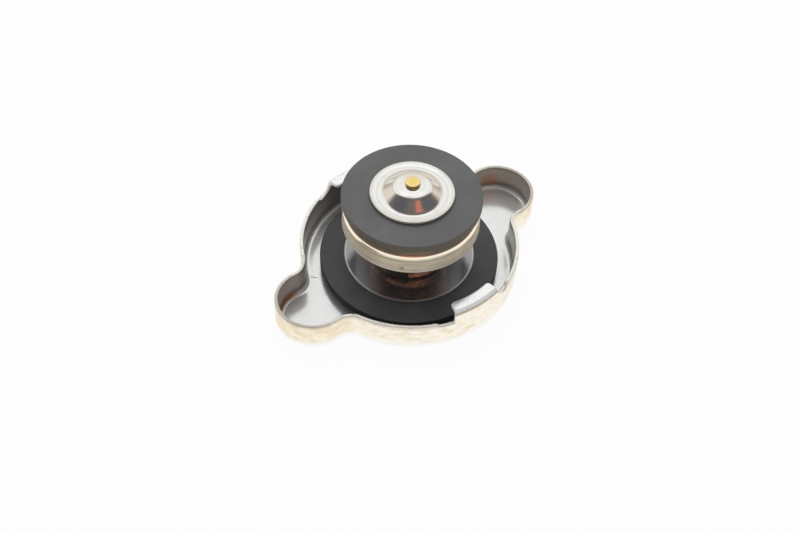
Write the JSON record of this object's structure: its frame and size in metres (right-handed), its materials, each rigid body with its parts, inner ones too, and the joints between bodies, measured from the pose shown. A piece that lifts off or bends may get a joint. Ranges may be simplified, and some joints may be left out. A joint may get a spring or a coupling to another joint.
{
  "type": "radiator cap",
  "caption": "Pressed steel radiator cap with finger ears and locking lugs, a swivelling spring-loaded pressure valve and a vacuum valve at its centre.",
  "frame": {"origin": "on the cap's axis, on the flat outer face that the cap lies on", "axes": "+X along the two ears, +Y towards one of the two lugs, +Z along the axis from the outer face to the pressure valve"},
  "size_m": [0.0732, 0.0514, 0.028],
  "materials": {
    "shell_plating": "bright plated",
    "polished_steel": "mirror polished",
    "cup_plating": "satin plated",
    "inner_steel": "plated",
    "spring_steel": "drawn wire",
    "gasket_rubber": "satin",
    "seal_rubber": "satin",
    "pin_brass": "turned"
  },
  "bodies": {
    "shell": {"cap_shell": "shell_plating"},
    "valve_mount": {"centre_rivet": "inner_steel", "spring_disc": "inner_steel", "main_gasket": "gasket_rubber", "clamp_plate": "polished_steel", "guide_post": "inner_steel", "pressure_spring": "spring_steel"},
    "pressure_valve": {"valve_cup": "cup_plating", "guide_sleeve": "inner_steel", "valve_seal": "seal_rubber", "seal_eyelet": "inner_steel", "vacuum_spring": "spring_steel"},
    "vacuum_valve": {"vacuum_disc": "polished_steel", "vacuum_pin": "pin_brass", "spring_washer": "inner_steel"}
  },
  "joints": [
    {"name": "valve_swivel", "type": "hinge", "parent": "shell", "child": "valve_mount", "pos_m": [0, 0, 0.0013], "axis": [0, 0, 1], "continuous": true},
    {"name": "pressure_valve_slide", "type": "slide", "parent": "valve_mount", "child": "pressure_valve", "axis": [0, 0, -1], "range_m": [0, 0.005], "stiffness_N_per_m": 4200, "springref_m": -0.007, "deforming": ["pressure_spring"]},
    {"name": "vacuum_valve_slide", "type": "slide", "parent": "pressure_valve", "child": "vacuum_valve", "axis": [0, 0, 1], "range_m": [0, 0.002], "stiffness_N_per_m": 530, "springref_m": -0.0015, "deforming": ["vacuum_spring"]}
  ]
}
